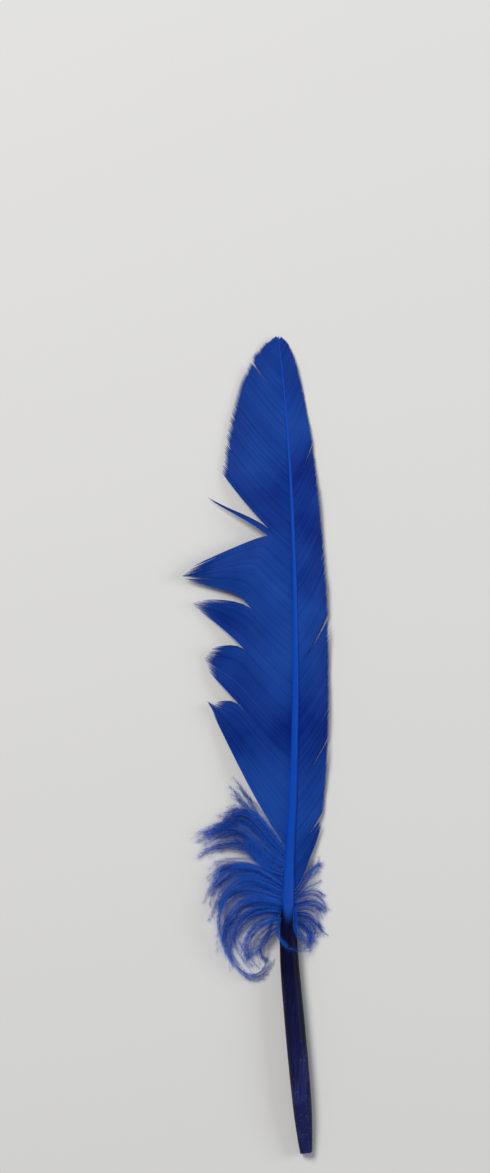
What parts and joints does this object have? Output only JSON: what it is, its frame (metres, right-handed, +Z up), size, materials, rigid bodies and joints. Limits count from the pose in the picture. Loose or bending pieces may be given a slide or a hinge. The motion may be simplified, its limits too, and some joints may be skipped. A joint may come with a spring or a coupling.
{
  "type": "goose quill feather",
  "caption": "Dyed wing feather lying flat: a round bare quill, a tapering shaft, a wide ruffled vane, a narrow vane and a tuft of curled down at their foot.",
  "frame": {"origin": "centre of the outline, on the surface that the feather lies on", "axes": "+Y along the feather from the cut end of the quill to the tip, +Z up, +X towards the narrow vane"},
  "size_m": [0.0274, 0.15, 0.0044],
  "materials": {
    "vane": "satin",
    "down": "matte",
    "shaft": "satin"
  },
  "bodies": {
    "root": {"feather": "vane"}
  },
  "joints": []
}
